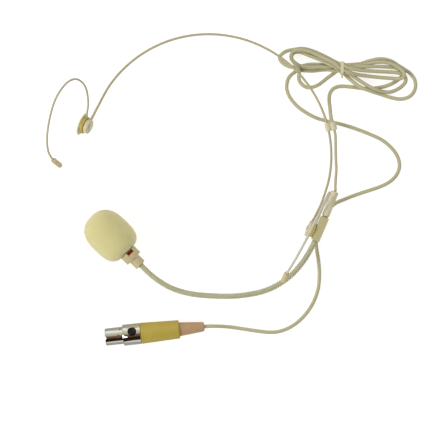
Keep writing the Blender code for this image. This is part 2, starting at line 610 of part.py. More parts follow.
def build_plug(kit):
    """Stepped metal barrel, insert with four contacts, latch button on its leaf, shell, boot and cable clamp."""
    side = Vector((0, 0, 1)).cross(PLUG_WAY).normalized()
    toward_button = Vector((0, 0, 1)) * cos(BUTTON_ROLL) + side * sin(BUTTON_ROLL)
    place = scaled_place(frame_from(PLUG_NOSE, PLUG_WAY, toward_button))
    front, rear, step, end = PLUG_FRONT_R, PLUG_REAR_R, PLUG_STEP_AT, PLUG_BARREL_END
    barrel = turned("plug_barrel", [
        (4.7, end), (rear, end), (rear, step + 0.3), (rear - 0.3, step), (front, step), (front, 0.4),
        (front - 0.2, 0.0), (3.75, 0.0), (3.75, 12.0), (4.7, 12.0)], 32)
    kit.add(barrel, "metal", "headset", place)
    across = place @ Matrix.Translation((0, 0, BUTTON_AT * MM)) @ Matrix.Rotation(pi / 2, 4, "Y")
    kit.cut(barrel, rod("button_hole", BUTTON_R + GAP, 2.5, 8.0, 20), "headset", across)

    insert = rod("plug_insert", INSERT_R, *INSERT_SPAN, 24)
    kit.add(insert, "black", "headset", place)
    for i in range(CONTACT_COUNT):
        angle = pi / 4 + i * 2 * pi / CONTACT_COUNT
        spot = place @ Matrix.Translation(
            (CONTACT_CIRCLE_R * cos(angle) * MM, CONTACT_CIRCLE_R * sin(angle) * MM, 0))
        kit.cut(insert, rod("contact_hole_%d" % (i + 1), CONTACT_R + GAP, 0.5, 12.5, 10), "headset", spot)
        contact = turned("plug_contact_%d" % (i + 1), [
            (0.0, 13.6), (CONTACT_R, 13.6), (CONTACT_R, 1.6), (0.32, 1.6), (0.32, 6.6), (0.0, 6.6)],
            10, closed=False)
        kit.add(contact, "brass", "headset", spot)

    kit.add_frame("latch_button", across, "headset")
    low, high = BUTTON_SPAN
    button = turned("plug_latch_button", [
        (0.0, high), (1.2, high - 0.1), (BUTTON_R - 0.2, high - 0.45), (BUTTON_R, high - 0.9), (BUTTON_R, low),
        (0.0, low)], 20, closed=False)
    kit.add(button, "black", "latch_button", across)
    leaf = block("plug_latch_spring", (2.6, -1.2, 12.2), (2.8, 1.2, 18.2))
    kit.add(leaf, "brass", "headset", place)

    (start, stop), (start_r, stop_r) = SHELL_SPAN, SHELL_R
    shell = turned("plug_shell", [
        (3.95, stop), (stop_r - 0.5, stop), (stop_r, stop - 0.6), (start_r, start + 0.4), (start_r - 0.2, start),
        (4.6, start)], 32)
    kit.add(shell, "mustard", "headset", place)
    boot = turned("plug_boot", [
        (CABLE_R + 0.3, BOOT_END), (2.1, BOOT_END), (2.55, BOOT_END - 0.6), (3.7, stop + 0.4), (3.7, 35.0),
        (CABLE_R + 0.3, 35.0)])
    kit.add(boot, "boot", "headset", place)
    clamp = turned("plug_cable_clamp", disc_profile(3.6, (25.0, 34.0), CABLE_R + 0.3))
    kit.add(clamp, "black", "headset", place)
    tail = rod("cord_tail_in_plug", CABLE_R, *CORD_TAIL_SPAN, 8)
    kit.add(tail, "cable", "headset", place)


def main():
    clear_scene()
    kit = Kit()
    build_neckband(kit)
    left_hub = hub_place(LEFT_BASE + Vector((BASE_WIRE_AT * cos(LEFT_TILT), 0, BASE_WIRE_AT * sin(LEFT_TILT))),
                         LEFT_TILT)
    right_hub = hub_place(RIGHT_PIVOT, 0.0)
    build_hub(kit, "left", -1, left_hub)
    build_hub(kit, "right", 1, right_hub)
    build_left_cover(kit, left_hub)
    build_hook(kit, "left", -1, left_hub, LEFT_HOOK, LEFT_TIP_START, LEFT_TIP_WAY)
    build_hook(kit, "right", 1, right_hub, RIGHT_HOOK, RIGHT_TIP_START, RIGHT_TIP_WAY)
    build_boom(kit)
    build_mic_head(kit)
    build_clip(kit)
    build_cable(kit)
    build_plug(kit)


main()
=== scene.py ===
"""Looks for the headset microphone: wires, hubs, ribbed gooseneck, foam, tied hank and plug."""
import json
from math import cos, pi, radians, sin, tau

import bmesh
import bpy
import numpy as np
from mathutils import Matrix, Vector, noise

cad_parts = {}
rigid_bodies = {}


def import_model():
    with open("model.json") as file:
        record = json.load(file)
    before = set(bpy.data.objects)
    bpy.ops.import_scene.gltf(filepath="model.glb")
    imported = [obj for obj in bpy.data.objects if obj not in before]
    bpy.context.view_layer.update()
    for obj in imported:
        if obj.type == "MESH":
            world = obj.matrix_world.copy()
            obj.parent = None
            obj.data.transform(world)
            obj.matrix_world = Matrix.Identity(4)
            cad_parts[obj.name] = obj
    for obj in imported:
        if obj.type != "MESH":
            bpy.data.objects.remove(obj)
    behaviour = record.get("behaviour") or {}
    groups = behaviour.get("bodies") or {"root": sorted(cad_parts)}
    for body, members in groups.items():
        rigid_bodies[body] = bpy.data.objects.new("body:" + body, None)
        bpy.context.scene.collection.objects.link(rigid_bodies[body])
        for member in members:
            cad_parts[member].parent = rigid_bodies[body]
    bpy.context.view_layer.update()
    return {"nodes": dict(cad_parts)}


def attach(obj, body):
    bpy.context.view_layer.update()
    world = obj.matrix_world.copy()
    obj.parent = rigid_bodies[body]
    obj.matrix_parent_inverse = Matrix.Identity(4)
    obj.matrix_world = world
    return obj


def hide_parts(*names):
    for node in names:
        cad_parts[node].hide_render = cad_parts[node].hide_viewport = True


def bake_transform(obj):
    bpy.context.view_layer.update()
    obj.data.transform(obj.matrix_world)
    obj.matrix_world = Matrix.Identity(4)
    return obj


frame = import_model()

MM = 0.001
LAYOUT_CENTRE = Vector((-6.18, -5.21, 0.0))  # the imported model's origin, in the layout's own millimetres


# ---- places ----

def spot(x, y, z=0.0):
    """A layout point, in the frame's metres."""
    return (Vector((x, y, z)) - LAYOUT_CENTRE) * MM


def axes_at(origin, z_axis, x_axis):
    """A frame at a layout point with the given Z, and X as near as it can be to the given one."""
    z = Vector(z_axis).normalized()
    x = (Vector(x_axis) - z * z.dot(Vector(x_axis))).normalized()
    turn = Matrix((x, z.cross(x), z)).transposed().to_4x4()
    return Matrix.Translation(spot(*origin)) @ turn


def smooth_route(points, spacing=0.25):
    """Points every spacing or so along a smooth curve through the given ones."""
    route = [Vector(p) for p in points]
    route = [2 * route[0] - route[1]] + route + [2 * route[-1] - route[-2]]
    fine = []
    for a, b, c, d in zip(route, route[1:], route[2:], route[3:]):
        count = max(2, round((c - b).length / spacing))
        for i in range(count):
            t = i / count
            fine.append(0.5 * (2 * b + (c - a) * t + (2 * a - 5 * b + 4 * c - d) * t ** 2
                               + (3 * b - a - 3 * c + d) * t ** 3))
    fine.append(route[-2])
    return fine


def distances(fine):
    """How far along the route each of its points is."""
    along = [0.0]
    for a, b in zip(fine, fine[1:]):
        along.append(along[-1] + (b - a).length)
    return along


def points_at(fine, marks):
    """The points at growing distances along a fine route."""
    along = distances(fine)
    found, i = [], 1
    for mark in marks:
        while i < len(along) - 1 and along[i] < mark:
            i += 1
        share = (mark - along[i - 1]) / max(along[i] - along[i - 1], 1e-9)
        found.append(fine[i - 1].lerp(fine[i], min(max(share, 0.0), 1.0)))
    return found


def evenly(points, step):
    """Points a step or so apart along the smooth route through the given ones."""
    fine = smooth_route(points)
    length = distances(fine)[-1]
    count = max(2, round(length / step))
    return points_at(fine, [length * k / count for k in range(count + 1)])


# ---- materials ----

MIX_FACTOR, MIX_A, MIX_B, MIX_COLOUR = 0, 6, 7, 2  # sockets of a mix node that mixes colours


def linear(red, green, blue):
    """A colour given as it shows on a screen, as the renderer needs it."""
    return tuple((c / 255) ** 2.2 for c in (red, green, blue))


def surface(name, colour, roughness, metallic=0.0, vary=0.08, vary_scale=160.0, bump=0.15, bump_scale=2500.0,
            bump_depth=0.00004, coat=0.0, sheen=0.0, specular=0.5, pores=False, stretch=(1.0, 1.0, 1.0)):
    """A procedural material: broad colour variation, uneven gloss and a fine relief."""
    material = bpy.data.materials.new(name)
    material.use_nodes = True
    nodes, links = material.node_tree.nodes, material.node_tree.links
    shader = nodes["Principled BSDF"]
    shader.inputs["Metallic"].default_value = metallic
    shader.inputs["Coat Weight"].default_value = coat
    shader.inputs["Coat Roughness"].default_value = 0.2
    shader.inputs["Sheen Weight"].default_value = sheen
    shader.inputs["Specular IOR Level"].default_value = specular
    place = nodes.new("ShaderNodeTexCoord")
    mapping = nodes.new("ShaderNodeMapping")
    mapping.inputs["Scale"].default_value = stretch
    links.new(place.outputs["Object"], mapping.inputs["Vector"])

    broad = nodes.new("ShaderNodeTexNoise")
    broad.inputs["Scale"].default_value = vary_scale
    broad.inputs["Detail"].default_value = 4.0
    links.new(mapping.outputs["Vector"], broad.inputs["Vector"])
    mix = nodes.new("ShaderNodeMix")
    mix.data_type = "RGBA"
    mix.inputs[MIX_A].default_value = (*(c * (1 - vary) for c in colour), 1.0)
    mix.inputs[MIX_B].default_value = (*(min(1.0, c * (1 + vary)) for c in colour), 1.0)
    links.new(broad.outputs["Fac"], mix.inputs[MIX_FACTOR])
    links.new(mix.outputs[MIX_COLOUR], shader.inputs["Base Color"])

    gloss = nodes.new("ShaderNodeMapRange")
    gloss.inputs["From Min"].default_value = 0.3
    gloss.inputs["From Max"].default_value = 0.7
    gloss.inputs["To Min"].default_value = max(0.02, roughness * 0.85)
    gloss.inputs["To Max"].default_value = min(1.0, roughness * 1.15)
    links.new(broad.outputs["Fac"], gloss.inputs["Value"])
    links.new(gloss.outputs["Result"], shader.inputs["Roughness"])

    if pores:
        fine = nodes.new("ShaderNodeTexVoronoi")
        height = fine.outputs["Distance"]
    else:
        fine = nodes.new("ShaderNodeTexNoise")
        fine.inputs["Detail"].default_value = 3.0
        height = fine.outputs["Fac"]
    fine.inputs["Scale"].default_value = bump_scale
    links.new(mapping.outputs["Vector"], fine.inputs["Vector"])
    relief = nodes.new("ShaderNodeBump")
    relief.inputs["Strength"].default_value = bump
    relief.inputs["Distance"].default_value = bump_depth
    links.new(height, relief.inputs["Height"])
    links.new(relief.outputs["Normal"], shader.inputs["Normal"])
    return material


PAINTS = {
    "band": surface("band_enamel", linear(186, 175, 140), 0.4, vary=0.05, coat=0.1),
    "hook": surface("hook_enamel", linear(190, 181, 150), 0.4, vary=0.05, coat=0.1),
    "hook_coat": surface("hook_coating", linear(206, 200, 180), 0.4, vary=0.05, coat=0.1),
    "hub": surface("hub_nylon", linear(216, 208, 174), 0.42, vary=0.05, vary_scale=400.0),
    "clamp": surface("clamp_nylon", linear(194, 186, 140), 0.5, vary=0.08, vary_scale=400.0),
    # painted shade: a darker golden copy of the hub nylon, standing in for the shaded gap between a hub's
    # discs
    "gap_shade": surface("hub_nylon_painted_gap_shade", linear(198, 178, 88), 0.45, vary=0.1, vary_scale=500.0),
    "cover": surface("cover_nylon", linear(226, 220, 190), 0.32, vary=0.03, vary_scale=400.0, coat=0.2),
    "tip": surface("tip_rubber", linear(206, 192, 146), 0.6, vary=0.08, vary_scale=600.0, bump=0.3),
    "goose": surface("gooseneck_jacket", linear(192, 188, 152), 0.5, vary=0.1, vary_scale=220.0),
    "housing": surface("mic_housing", linear(202, 186, 140), 0.5, vary=0.08, vary_scale=300.0, bump=0.25),
    "felt": surface("damping_felt", linear(140, 45, 20), 0.95, vary=0.3, bump=0.8, bump_depth=0.0002,
                    sheen=0.3),
    "foam": surface("foam", linear(218, 208, 146), 0.95, vary=0.05, vary_scale=260.0, bump=0.7,
                    bump_scale=2600.0, bump_depth=0.0002, sheen=0.45, pores=True),
    "cable": surface("cable_jacket", linear(190, 184, 146), 0.5, vary=0.06, coat=0.05),
    "chrome": surface("nickel_plate", (0.80, 0.79, 0.75), 0.06, metallic=1.0, vary=0.04, bump=0.03,
                      bump_scale=4000.0, stretch=(1.0, 1.0, 0.2)),
    "brass": surface("contact_brass", (0.80, 0.56, 0.20), 0.25, metallic=1.0, vary=0.1),
    "black": surface("black_nylon", (0.004, 0.004, 0.005), 0.4, vary=0.2, specular=0.25),
    "mustard": surface("shell_paint", linear(184, 162, 66), 0.45, vary=0.06, vary_scale=220.0, bump=0.25,
                       bump_scale=1800.0, coat=0.1),
    "boot": surface("boot_rubber", linear(186, 150, 110), 0.6, vary=0.06, bump=0.3),
    "tie": surface("tie_plastic", linear(222, 214, 176), 0.35, vary=0.04),
}


# ---- shapes ----

def dress(obj, material, sharp=35.0):
    """Puts a piece in the scene, smooth but for edges sharper than an angle, and paints it."""
    bpy.context.scene.collection.objects.link(obj)
    if obj.type == "MESH":
        for face in obj.data.polygons:
            face.use_smooth = True
        if sharp is not None:
            obj.data.set_sharp_from_angle(angle=radians(sharp))
    obj.data.materials.append(PAINTS[material])


def finish_mesh(obj, material, body, slot, *nodes_replaced, sharp=35.0):
    """Shades and paints a piece, and hangs it on its body in place of the CAD's own."""
    dress(obj, material, sharp)
    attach(obj, body)
    if nodes_replaced:
        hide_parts(*nodes_replaced)
    return obj


def paint_node(name, material):
    """Gives a CAD node that stays in view its own material."""
    node = frame["nodes"][name]
    if node.data.materials:
        for i in range(len(node.material_slots)):
            node.material_slots[i].material = PAINTS[material]
    else:
        node.data.materials.append(PAINTS[material])


def as_object(name, shape, place=None):
    """An object made of a finished bmesh, which is used up."""
    mesh = bpy.data.meshes.new(name)
    shape.to_mesh(mesh)
    shape.free()
    obj = bpy.data.objects.new(name, mesh)
    if place is not None:
        obj.matrix_world = place
    return obj


def lathe(name, profile, place, segments=72, closed=True, stretch_y=1.0):
    """A solid of revolution about Z through (radius, height) points in millimetres."""
    shape = bmesh.new()
    rings = []
    for radius, height in profile:
        if radius < 1e-6:
            rings.append([shape.verts.new((0.0, 0.0, height * MM))])
        else:
            rings.append([
                shape.verts.new((radius * cos(tau * k / segments) * MM,
                                 radius * sin(tau * k / segments) * stretch_y * MM, height * MM))
                for k in range(segments)])
    pairs = list(zip(rings, rings[1:]))
    if closed:
        pairs.append((rings[-1], rings[0]))
    for upper, lower in pairs:
        if len(upper) == 1 and len(lower) == 1:
            continue
        for k in range(segments):
            n = (k + 1) % segments
            if len(upper) == 1:
                shape.faces.new((upper[0], lower[k], lower[n]))
            elif len(lower) == 1:
                shape.faces.new((upper[k], lower[0], upper[n]))
            else:
                shape.faces.new((upper[k], lower[k], lower[n], upper[n]))
    bmesh.ops.recalc_face_normals(shape, faces=shape.faces)
    return as_object(name, shape, place)


def soften(obj, width, segments=3):
    """Rounds the sharp edges of a piece."""
    bevel = obj.modifiers.new("edges", "BEVEL")
    bevel.width = width * MM
    bevel.segments = segments
    bevel.limit_method = "ANGLE"
    bevel.angle_limit = radians(40)
    bevel.harden_normals = False
    return obj


def box_mesh(name, low, high, place):
    """A box between two corners in millimetres."""
    shape = bmesh.new()
    size = [(b - a) * MM for a, b in zip(low, high)]
    middle = Vector([(a + b) / 2 * MM for a, b in zip(low, high)])
    bmesh.ops.create_cube(shape, size=1.0, matrix=Matrix.Translation(middle) @ Matrix.Diagonal((*size, 1.0)))
    return as_object(name, shape, place)


def rod_mesh(name, radius, start, end, place, sides=48):
    """A cylinder along Z between two heights in millimetres."""
    return lathe(name, [(0.0, end), (radius, end), (radius, start), (0.0, start)], place, sides, closed=False)


def carve(obj, *cutters, joined=()):
    """Cuts or joins closed meshes, and leaves plain geometry."""
    scene_objects = bpy.context.scene.collection.objects
    scene_objects.link(obj)
    helpers = []
    for other, operation in [(c, "DIFFERENCE") for c in cutters] + [(j, "UNION") for j in joined]:
        scene_objects.link(other)
        helpers.append(other)
        modifier = obj.modifiers.new("cut", "BOOLEAN")
        modifier.operation = operation
        modifier.solver = "EXACT"
        modifier.object = other
    bpy.context.view_layer.update()
    evaluated = obj.evaluated_get(bpy.context.evaluated_depsgraph_get())
    mesh = bpy.data.meshes.new_from_object(evaluated)
    obj.modifiers.clear()
    obj.data = mesh
    scene_objects.unlink(obj)
    for helper in helpers:
        bpy.data.objects.remove(helper, do_unlink=True)
    return obj


def sweep_mesh(name, points, radii, sides=20):
    """A tube through layout points whose radius is given at each, with closed ends."""
    shape = bmesh.new()
    ahead = [(b - a).normalized() for a, b in zip(points, points[1:])]
    ahead.append(ahead[-1])
    side = ahead[0].orthogonal().normalized()
    rings = []
    for i, (point, radius) in enumerate(zip(points, radii)):
        way = (ahead[max(i - 1, 0)] + ahead[i]).normalized()
        side = (side - way * side.dot(way)).normalized()
        other = way.cross(side)
        centre = spot(*point)
        turns = [tau * k / sides for k in range(sides)]
        rings.append([shape.verts.new(centre + (side * cos(turn) + other * sin(turn)) * radius * MM)
                      for turn in turns])
    for a, b in zip(rings, rings[1:]):
        for k in range(sides):
            n = (k + 1) % sides
            shape.faces.new((a[k], a[n], b[n], b[k]))
    shape.faces.new(rings[0][::-1])
    shape.faces.new(rings[-1])
    bmesh.ops.recalc_face_normals(shape, faces=shape.faces)
    return as_object(name, shape)


def wire_curve(name, points, radius):
    """A round wire through layout points, as one open spline with filled ends."""
    data = bpy.data.curves.new(name, "CURVE")
    data.dimensions = "3D"
    data.bevel_depth = radius * MM
    data.bevel_resolution = 5
    data.use_fill_caps = True
    spline = data.splines.new("POLY")
    spline.points.add(len(points) - 1)
    for target, point in zip(spline.points, points):
        target.co = (*spot(*point), 1.0)
    spline.use_smooth = True
    return bpy.data.objects.new(name, data)


# ---- camera, floor and light ----

VIEW_CENTRE = (15.2, -28.7)  # the layout point under the camera
VIEW_HEIGHT, VIEW_WIDTH = 0.80, 0.2322  # metres above the table, and metres of it that are in view
SENSOR_WIDTH = 36.0
# the directions on the table that run right and up in the view
IMAGE_RIGHT = Vector((0.919, 0.394, 0.0)).normalized()
IMAGE_UP = Vector((-0.394, 0.919, 0.0)).normalized()
FLOOR_REACH, FLOOR_DROP = 3.0, 0.0001
FLOOR_GLOW, WORLD_GLOW, FLOOR_GLOW_IN_METAL = 0.72, 0.42, 0.42
# brightness that metal mirrors, from the near side of the table (0) over the top (0.5) to the far side (1)
STUDIO_CARDS = (
    (0.0, (0.75, 0.75, 0.72)), (0.03, (0.75, 0.75, 0.72)), (0.05, (0.02, 0.015, 0.01)),
    (0.29, (0.02, 0.015, 0.01)), (0.33, (0.16, 0.07, 0.035)), (0.52, (0.20, 0.10, 0.06)),
    (0.60, (0.48, 0.46, 0.38)), (0.80, (0.60, 0.58, 0.48)), (0.90, (0.95, 0.94, 0.88)),
    (1.0, (0.7, 0.69, 0.6)),
)


def build_camera():
    """A camera straight above the table."""
    data = bpy.data.cameras.new("camera")
    data.sensor_width = SENSOR_WIDTH
    data.lens = SENSOR_WIDTH * VIEW_HEIGHT / VIEW_WIDTH
    data.clip_start = 0.01
    camera = bpy.data.objects.new("camera", data)
    camera.matrix_world = Matrix.Translation(spot(*VIEW_CENTRE, VIEW_HEIGHT / MM)) @ Matrix(
        (IMAGE_RIGHT, IMAGE_UP, Vector((0, 0, 1)))).transposed().to_4x4()
    bpy.context.scene.collection.objects.link(camera)
    bpy.context.scene.camera = camera


def area_light(name, direction, distance, size, watts):
    """A square light that looks at the middle of the object from a direction."""
    data = bpy.data.lights.new(name, "AREA")
    data.size = size
    data.energy = watts
    light = bpy.data.objects.new(name, data)
    way = Vector(direction).normalized()
    light.matrix_world = Matrix.Translation(way * distance) @ way.to_track_quat("Z", "Y").to_matrix().to_4x4()
    bpy.context.scene.collection.objects.link(light)


def build_floor():
    """A bright sheet under the object, which metal mirrors as a duller one."""
    floor_mesh = bpy.data.meshes.new("floor")
    corners = [(x * FLOOR_REACH, y * FLOOR_REACH, 0) for x, y in ((-1, -1), (1, -1), (1, 1), (-1, 1))]
    floor_mesh.from_pydata(corners, [], [(0, 1, 2, 3)])
    floor = bpy.data.objects.new("floor", floor_mesh)
    floor.location.z = -FLOOR_DROP
    bpy.context.scene.collection.objects.link(floor)
    paper = bpy.data.materials.new("floor_paper")
    paper.use_nodes = True
    shader = paper.node_tree.nodes["Principled BSDF"]
    shader.inputs["Base Color"].default_value = (0.5, 0.5, 0.5, 1.0)
    shader.inputs["Roughness"].default_value = 0.9
    shader.inputs["Specular IOR Level"].default_value = 0.1
    shader.inputs["Emission Color"].default_value = (1.0, 1.0, 1.0, 1.0)
    shader.inputs["Emission Strength"].default_value = FLOOR_GLOW
    nodes, links = paper.node_tree.nodes, paper.node_tree.links
    seen_in_metal = nodes.new("ShaderNodeEmission")
    seen_in_metal.inputs["Color"].default_value = (0.95, 0.9, 0.8, 1.0)
    seen_in_metal.inputs["Strength"].default_value = FLOOR_GLOW_IN_METAL
    path = nodes.new("ShaderNodeLightPath")
    either = nodes.new("ShaderNodeMixShader")
    links.new(path.outputs["Is Glossy Ray"], either.inputs[0])
    links.new(shader.outputs[0], either.inputs[1])
    links.new(seen_in_metal.outputs[0], either.inputs[2])
    links.new(either.outputs[0], nodes["Material Output"].inputs["Surface"])
    floor.data.materials.append(paper)


def build_world():
    """An even sky for everything but mirrors, and the cards that only mirrors see."""
    world = bpy.data.worlds.new("studio")
    world.use_nodes = True
    nodes, links = world.node_tree.nodes, world.node_tree.links
    background = nodes["Background"]
    background.inputs["Color"].default_value = (1.0, 1.0, 0.99, 1.0)
    background.inputs["Strength"].default_value = WORLD_GLOW
    direction = nodes.new("ShaderNodeTexCoord")
    along = nodes.new("ShaderNodeVectorMath")
    along.operation = "DOT_PRODUCT"
    along.inputs[1].default_value = IMAGE_UP
    links.new(direction.outputs["Generated"], along.inputs[0])
    spread = nodes.new("ShaderNodeMapRange")
    spread.inputs["From Min"].default_value = -1.0
    links.new(along.outputs["Value"], spread.inputs["Value"])
    cards = nodes.new("ShaderNodeValToRGB")
    ramp = cards.color_ramp
    for position, colour in STUDIO_CARDS:
        stop = ramp.elements.new(position)
        stop.color = (*colour, 1.0)
    ramp.elements.remove(ramp.elements[0])
    ramp.elements.remove(ramp.elements[-1])
    links.new(spread.outputs["Result"], cards.inputs["Fac"])
    mirrored = nodes.new("ShaderNodeBackground")
    links.new(cards.outputs["Color"], mirrored.inputs["Color"])
    rays = nodes.new("ShaderNodeLightPath")
    mix = nodes.new("ShaderNodeMixShader")
    links.new(rays.outputs["Is Glossy Ray"], mix.inputs[0])
    links.new(background.outputs[0], mix.inputs[1])
    links.new(mirrored.outputs[0], mix.inputs[2])
    links.new(mix.outputs[0], nodes["World Output"].inputs["Surface"])
    bpy.context.scene.world = world


def build_studio():
    build_floor()
    build_world()
    bpy.context.scene.view_settings.view_transform = "Standard"
    area_light("key", -IMAGE_RIGHT * 0.95 - IMAGE_UP * 0.4 + Vector((0, 0, 0.9)), 1.2, 0.6, 7.0)
    area_light("fill", IMAGE_UP * 0.7 + IMAGE_RIGHT * 0.35 + Vector((0, 0, 1.0)), 1.3, 0.6, 3.6)


# ---- neckband, hubs and hooks ----

BAND_R, HOOK_R = 0.65, 0.55  # millimetres, as everything in the layout is
BAND_CENTRE_X, BAND_HALF_WIDTH, BAND_HALF_DEPTH = -0.2, 65.1, 64.1
BAND_HEIGHT, BAND_RISE_OVER = 8.0, 64.25  # the height in the middle, and how far to the right it is 1 mm more
HOOK_SWELL = {"left": 1.0, "right": 1.22}  # how much stouter the wire is past the top of its loop
LEFT_TILT = radians(17.0)
LEFT_BASE = Vector((-65.9, -11.9, 7.0))
BASE_WIRE_AT, HOOK_AT = -1.25, 0.9  # where the neckband's and the hook's wires are along the pin
LEFT_PIVOT = LEFT_BASE + Vector((BASE_WIRE_AT * cos(LEFT_TILT), 0, BASE_WIRE_AT * sin(LEFT_TILT)))
RIGHT_PIVOT = Vector((65.5, -15.5, 9.0))
BASE_RADIUS = {"left": 3.9, "right": 4.4}
CARRIER_RADIUS = {"left": 4.7, "right": 4.0}
COVER_STRETCH = 1.36


def hub_frame(pivot, tilt):
    """The hub's axes as layout vectors: rightward along the pin, back along the head, and up the loop."""
    turn = Matrix.Rotation(-tilt, 3, "Y")
    return pivot, turn @ Vector((1, 0, 0)), Vector((0, 1, 0)), turn @ Vector((0, 0, 1))


def hub_point(hub, x, along, up):
    """A layout point given along the hub's own axes."""
    origin, ex, ey, ez = hub
    return origin + ex * x + ey * along + ez * up


def band_height(x):
    return BAND_HEIGHT + x / BAND_RISE_OVER


def build_band():
    """One wire from hub to hub round the back."""
    right = [(64.25, RIGHT_PIVOT.y + 1.6), (64.3, -11.5), (64.72, -6.0)]
    arc = [(BAND_CENTRE_X + BAND_HALF_WIDTH * cos(radians(a)), BAND_HALF_DEPTH * sin(radians(a)))
           for a in range(0, 181, 12)]
    left = [(-65.6, -4.0), (LEFT_BASE.x, -8.0), (LEFT_BASE.x, LEFT_BASE.y + 1.6)]
    route = [(x, y, band_height(x)) for x, y in right + arc + left]
    wire = wire_curve("neckband_wire", evenly(route, 1.2), BAND_R)
    finish_mesh(wire, "band", "headband", "band_wire", "neckband")


def disc(radius, low, high, bore, edge=0.35):
    """The profile of a bored disc with rounded rims."""
    nick = edge * 0.3
    return [(bore, high), (radius - edge, high), (radius - nick, high - nick), (radius, high - edge),
            (radius, low + edge), (radius - nick, low + nick), (radius - edge, low), (bore, low)]


def build_hubs(left_hub, right_hub):
    """A disc on the wire's end and a grooved disc for the hook at each side, and the left side's cap."""
    for name, side, hub in (("left", -1, left_hub), ("right", 1, right_hub)):
        origin, ex, ey, _ = hub
        out = axes_at(origin, ex * side, ey)
        base = lathe(name + "_hub_disc", disc(BASE_RADIUS[name], -2.3, -0.2, 1.0), out)
        finish_mesh(base, "hub", "headband", "hub_plastic", name + "_hub_base")
        rim = CARRIER_RADIUS[name]
        groove = [(1.0, 1.8), (rim - 0.3, 1.8), (rim, 1.5), (rim, 1.15), (rim - 0.25, 1.0), (rim - 0.25, 0.8),
                  (rim, 0.65), (rim, 0.3), (rim - 0.3, 0.0), (1.0, 0.0)]
        carrier = lathe(name + "_hook_disc", groove, out)
        # the grooved hook disc gets the darker golden colour: painted shade for the shaded gap between the
        # hub's discs
        finish_mesh(carrier, "gap_shade", name + "_hook", "hub_plastic", name + "_hook_carrier")
    origin, ex, _, ez = left_hub
    cover = lathe("left_hub_cap", [
        (0.0, 3.45), (1.7, 3.43), (2.8, 3.36), (3.5, 3.24), (4.1, 3.05), (4.45, 2.85), (4.6, 2.6), (4.6, 2.2),
        (4.4, 2.0), (1.0, 2.0), (1.0, 2.8), (0.0, 2.8)], axes_at(origin, -ex, ez), 96, closed=False,
        stretch_y=COVER_STRETCH)
    finish_mesh(cover, "cover", "headband", "hub_cover_plastic", "left_hub_cover")


# the hooks' routes and tips: back along the head, up, and inward from the plane of the hook's own disc
LEFT_HOOK = [
    (4.6, 2.0, -0.2), (12.0, 4.0, -1.7), (18.7, 10.5, -4.0), (20.0, 20.3, -5.9), (15.6, 28.8, -6.4),
    (6.5, 34.5, -5.9), (-3.7, 35.6, -4.4), (-13.6, 34.0, -2.3), (-20.4, 29.9, -0.3),
]
LEFT_TIP = (Vector((-23.7, 24.2, 1.7)), Vector((-0.18, -0.93, 0.31)))
RIGHT_HOOK = [
    (4.6, 2.1, 0.0), (13.2, 4.2, 0.1), (19.8, 10.4, 0.15), (21.0, 19.8, 1.2), (16.4, 27.5, 2.0),
    (6.5, 32.8, 2.6), (-4.0, 33.8, 3.2), (-15.0, 32.2, 4.1), (-22.6, 28.6, 4.8),
]
RIGHT_TIP = (Vector((-26.2, 23.5, 5.1)), Vector((-0.68, -0.73, -0.03)))
HOOK_ENTRY = radians(25.0)  # how far up from level the wire leaves its disc


def build_hook(name, side, hub, shape, tip):
    """A formed wire that comes out of its disc, and the soft sleeve on its end."""
    start, way = tip[0], tip[1].normalized()
    route = [(1.6 * cos(HOOK_ENTRY), 1.6 * sin(HOOK_ENTRY), 0.0)] + shape
    route += [tuple(start + way * reach) for reach in (0.0, 2.2, 4.4)]
    points = evenly([hub_point(hub, side * (HOOK_AT - w), u, v) for u, v, w in route], 0.6)
    swell = HOOK_SWELL[name]
    radii = [HOOK_R * (1.0 + (swell - 1.0) * min(1.0, max(0.0, 2.0 * i / len(points) - 0.6)))
             for i in range(len(points))]
    wire = sweep_mesh(name + "_hook_wire", points, radii, 18)
    paint = "hook" if swell == 1.0 else "hook_coat"
    finish_mesh(wire, paint, name + "_hook", "band_wire", name + "_ear_hook")
    origin, ex, ey, ez = hub
    place = axes_at(hub_point(hub, side * (HOOK_AT - start.z), start.x, start.y),
                    -(ex * -side * way.z + ey * way.x + ez * way.y), ex)
    bore = HOOK_R * swell + 0.06
    soft = lathe(name + "_hook_sleeve", [
        (bore, 0.0), (1.1, 0.0), (1.32, -0.14), (1.45, -0.45), (1.45, -1.4), (1.36, -1.65), (1.36, -1.9),
        (1.45, -2.15), (1.45, -6.1), (1.4, -6.6), (1.22, -7.1), (0.95, -7.4), (0.5, -7.58), (0.0, -7.63),
        (0.0, -4.9), (bore, -4.9)], place, 40)
    finish_mesh(soft, "tip", name + "_hook", "tip_rubber", name + "_hook_tip")


# ---- boom and microphone ----

# from the end of the cable, inside the sleeve, to the end of the gooseneck, inside the microphone
BOOM_ROUTE = [
    (69.44, -2.2, 9.0), (69.6, -6.0, 9.0), (69.75, -11.0, 9.0), (69.75, -15.5, 9.0), (69.72, -20.5, 9.0),
    (69.3, -26.0, 9.0), (68.2, -33.0, 9.1), (65.6, -41.2, 9.3), (61.2, -49.0, 9.5), (55.6, -55.3, 9.8),
    (48.7, -60.4, 10.0), (39.8, -65.3, 10.3), (30.0, -69.2, 10.6), (21.6, -71.9, 10.9), (14.1, -73.3, 11.1),
    (7.0, -73.5, 11.2), (0.5, -72.5, 11.3), (-4.8, -71.0, 11.4), (-10.6, -68.75, 11.4),
    (-13.78, -67.54, 11.4),
]
RIB_PITCH = 1.1
RIB_SHAPE = ((0.0, 1.12), (0.18, 1.48), (0.34, 1.6), (0.66, 1.6), (0.82, 1.48))  # share of a pitch, radius
NECK_START, NECK_HALFWAY = 0.4, 68.0
CLAMP_INNER_X, CLAMP_OUTER_X, CLAMP_FRONT, CLAMP_REAR, CLAMP_HALF_HEIGHT = 67.5, 71.85, -4.7, 8.7, 2.6
SLEEVE_REAR, SLEEVE_FRONT = Vector((69.2, 8.0, 9.0)), Vector((69.6, -6.0, 9.0))


